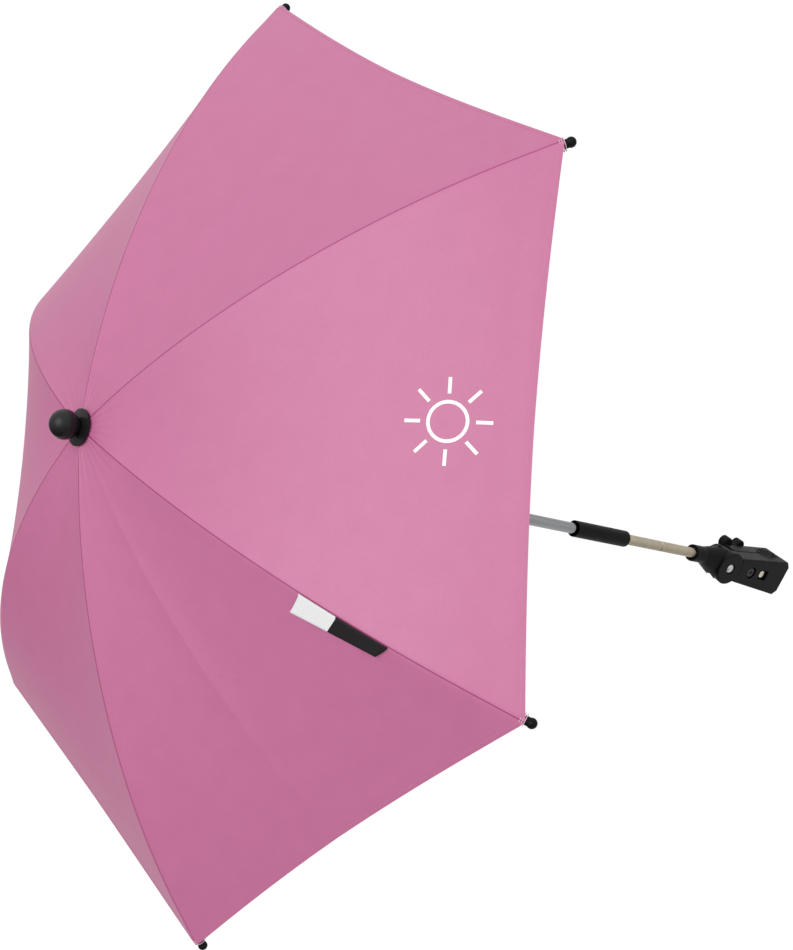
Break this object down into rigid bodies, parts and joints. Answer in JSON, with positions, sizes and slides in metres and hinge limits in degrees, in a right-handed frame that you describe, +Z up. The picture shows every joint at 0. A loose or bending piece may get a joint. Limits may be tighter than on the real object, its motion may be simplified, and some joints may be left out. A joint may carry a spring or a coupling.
{
  "type": "pram parasol",
  "caption": "Folding pram parasol: a domed cloth canopy on hinged ribs and a tube, with a bendable neck, a tilting head and a screw clamp for the pram's frame.",
  "frame": {"origin": "middle of the clamp's bore, where the pram's frame tube goes", "axes": "+Z up the parasol's shaft, -Y towards the clamp's front face, +X along the bore"},
  "size_m": [0.613, 0.7067, 0.8393],
  "materials": {
    "black_plastic": "satin moulded",
    "rubber": "matt",
    "bright_steel": "zinc plated",
    "black_steel": "black oxide",
    "brass": "turned",
    "nickel": "nickel plated",
    "chrome": "polished",
    "rib_steel": "black painted",
    "pink_cloth": "woven",
    "tag_cloth": "satin ribbon"
  },
  "bodies": {
    "clamp": {"clamp_body": "black_plastic", "jaw_pad_front": "rubber", "clamp_screw": "black_steel", "guide_pin": "nickel"},
    "jaw": {"clamp_jaw": "black_plastic", "jaw_pad_rear": "rubber"},
    "knob": {"clamp_knob": "black_plastic", "knob_insert": "brass"},
    "head": {"socket_head": "black_plastic", "pivot_bolt": "bright_steel", "pivot_nut": "bright_steel", "friction_washers": "bright_steel", "gooseneck_lower": "nickel"},
    "neck": {"gooseneck_upper": "nickel"},
    "shaft": {"joint_sleeve": "black_plastic", "shaft_tube": "chrome", "crown": "black_plastic", "crown_wire": "bright_steel", "top_cap": "black_plastic", "ball_knob": "black_plastic"},
    "top_catch": {"top_catch": "bright_steel"},
    "bottom_catch": {"bottom_catch": "bright_steel"},
    "runner": {"runner": "black_plastic", "runner_wire": "bright_steel"},
    "rib_1": {"rib_1": "rib_steel", "rib_pin_1": "bright_steel", "tip_ball_1": "black_plastic", "canopy_sector_1": "pink_cloth", "side_tag": "tag_cloth"},
    "stretcher_1": {"stretcher_1": "rib_steel"},
    "rib_2": {"rib_2": "rib_steel", "rib_pin_2": "bright_steel", "tip_ball_2": "black_plastic", "canopy_sector_2": "pink_cloth"},
    "stretcher_2": {"stretcher_2": "rib_steel"},
    "rib_3": {"rib_3": "rib_steel", "rib_pin_3": "bright_steel", "tip_ball_3": "black_plastic", "canopy_sector_3": "pink_cloth"},
    "stretcher_3": {"stretcher_3": "rib_steel"},
    "rib_4": {"rib_4": "rib_steel", "rib_pin_4": "bright_steel", "tip_ball_4": "black_plastic", "canopy_sector_4": "pink_cloth"},
    "stretcher_4": {"stretcher_4": "rib_steel"},
    "rib_5": {"rib_5": "rib_steel", "rib_pin_5": "bright_steel", "tip_ball_5": "black_plastic", "canopy_sector_5": "pink_cloth"},
    "stretcher_5": {"stretcher_5": "rib_steel"},
    "rib_6": {"rib_6": "rib_steel", "rib_pin_6": "bright_steel", "tip_ball_6": "black_plastic", "canopy_sector_6": "pink_cloth"},
    "stretcher_6": {"stretcher_6": "rib_steel"}
  },
  "joints": [
    {"name": "knob_turn", "type": "hinge", "parent": "jaw", "child": "knob", "pos_m": [0, 0.01555, 0.035], "axis": [0, 1, 0], "range_deg": [-540, 2160]},
    {"name": "jaw_slide", "type": "slide", "parent": "clamp", "child": "jaw", "axis": [0, 1, 0], "range_m": [-0.0012, 0.0048]},
    {"name": "head_tilt", "type": "hinge", "parent": "clamp", "child": "head", "pos_m": [0, -0.00475, 0.07], "axis": [0, 1, 0], "range_deg": [-65, 65]},
    {"name": "neck_bend_low", "type": "hinge", "parent": "head", "child": "neck", "pos_m": [0.004, -0.00475, 0.145], "axis": [1, 0, 0], "range_deg": [-40, 40], "deforming": ["gooseneck_lower"]},
    {"name": "neck_bend_high", "type": "hinge", "parent": "neck", "child": "shaft", "pos_m": [0.004, -0.00475, 0.195], "axis": [0, 1, 0], "range_deg": [-40, 40], "deforming": ["gooseneck_upper"]},
    {"name": "top_catch_press", "type": "slide", "parent": "shaft", "child": "top_catch", "axis": [-1, 0, 0], "range_m": [0, 0.0022], "stiffness_N_per_m": 600},
    {"name": "bottom_catch_press", "type": "slide", "parent": "shaft", "child": "bottom_catch", "axis": [-1, 0, 0], "range_m": [0, 0.0022], "stiffness_N_per_m": 600},
    {"name": "rib_1_fold", "type": "hinge", "parent": "shaft", "child": "rib_1", "pos_m": [0.004, -0.01375, 0.7898], "axis": [1, 0, 0], "range_deg": [0, 63], "deforming": ["canopy_sector_1", "side_tag"]},
    {"name": "stretcher_1_fold", "type": "hinge", "parent": "rib_1", "child": "stretcher_1", "pos_m": [0.004, -0.19475, 0.75058], "axis": [1, 0, 0], "range_deg": [-126, 0]},
    {"name": "rib_2_fold", "type": "hinge", "parent": "shaft", "child": "rib_2", "pos_m": [0.01179, -0.00925, 0.7898], "axis": [0.5, 0.866, 0], "range_deg": [0, 63], "deforming": ["canopy_sector_2"]},
    {"name": "stretcher_2_fold", "type": "hinge", "parent": "rib_2", "child": "stretcher_2", "pos_m": [0.16854, -0.09975, 0.75058], "axis": [0.5, 0.866, 0], "range_deg": [-126, 0]},
    {"name": "rib_3_fold", "type": "hinge", "parent": "shaft", "child": "rib_3", "pos_m": [0.01179, -0.00025, 0.7898], "axis": [-0.5, 0.866, 0], "range_deg": [0, 63], "deforming": ["canopy_sector_3"]},
    {"name": "stretcher_3_fold", "type": "hinge", "parent": "rib_3", "child": "stretcher_3", "pos_m": [0.16854, 0.09025, 0.75058], "axis": [-0.5, 0.866, 0], "range_deg": [-126, 0]},
    {"name": "rib_4_fold", "type": "hinge", "parent": "shaft", "child": "rib_4", "pos_m": [0.004, 0.00425, 0.7898], "axis": [-1, 0, 0], "range_deg": [0, 63], "deforming": ["canopy_sector_4"]},
    {"name": "stretcher_4_fold", "type": "hinge", "parent": "rib_4", "child": "stretcher_4", "pos_m": [0.004, 0.18525, 0.75058], "axis": [-1, 0, 0], "range_deg": [-126, 0]},
    {"name": "rib_5_fold", "type": "hinge", "parent": "shaft", "child": "rib_5", "pos_m": [-0.00379, -0.00025, 0.7898], "axis": [-0.5, -0.866, 0], "range_deg": [0, 63], "deforming": ["canopy_sector_5"]},
    {"name": "stretcher_5_fold", "type": "hinge", "parent": "rib_5", "child": "stretcher_5", "pos_m": [-0.16054, 0.09025, 0.75058], "axis": [-0.5, -0.866, 0], "range_deg": [-126, 0]},
    {"name": "rib_6_fold", "type": "hinge", "parent": "shaft", "child": "rib_6", "pos_m": [-0.00379, -0.00925, 0.7898], "axis": [0.5, -0.866, 0], "range_deg": [0, 63], "deforming": ["canopy_sector_6"]},
    {"name": "stretcher_6_fold", "type": "hinge", "parent": "rib_6", "child": "stretcher_6", "pos_m": [-0.16054, -0.09975, 0.75058], "axis": [0.5, -0.866, 0], "range_deg": [-126, 0]},
    {"name": "runner_hinge", "type": "hinge", "parent": "stretcher_1", "child": "runner", "pos_m": [0.004, -0.01375, 0.71136], "axis": [1, 0, 0], "range_deg": [0, 63]}
  ],
  "couplings": [
    {"joint": "knob_turn", "follows": "jaw_slide", "rad_per_m": 7854},
    {"joint": "stretcher_1_fold", "follows": "rib_1_fold", "ratio": -2},
    {"joint": "rib_2_fold", "follows": "rib_1_fold", "ratio": 1},
    {"joint": "stretcher_2_fold", "follows": "rib_1_fold", "ratio": -2},
    {"joint": "rib_3_fold", "follows": "rib_1_fold", "ratio": 1},
    {"joint": "stretcher_3_fold", "follows": "rib_1_fold", "ratio": -2},
    {"joint": "rib_4_fold", "follows": "rib_1_fold", "ratio": 1},
    {"joint": "stretcher_4_fold", "follows": "rib_1_fold", "ratio": -2},
    {"joint": "rib_5_fold", "follows": "rib_1_fold", "ratio": 1},
    {"joint": "stretcher_5_fold", "follows": "rib_1_fold", "ratio": -2},
    {"joint": "rib_6_fold", "follows": "rib_1_fold", "ratio": 1},
    {"joint": "stretcher_6_fold", "follows": "rib_1_fold", "ratio": -2},
    {"joint": "runner_hinge", "follows": "rib_1_fold", "ratio": 1}
  ]
}
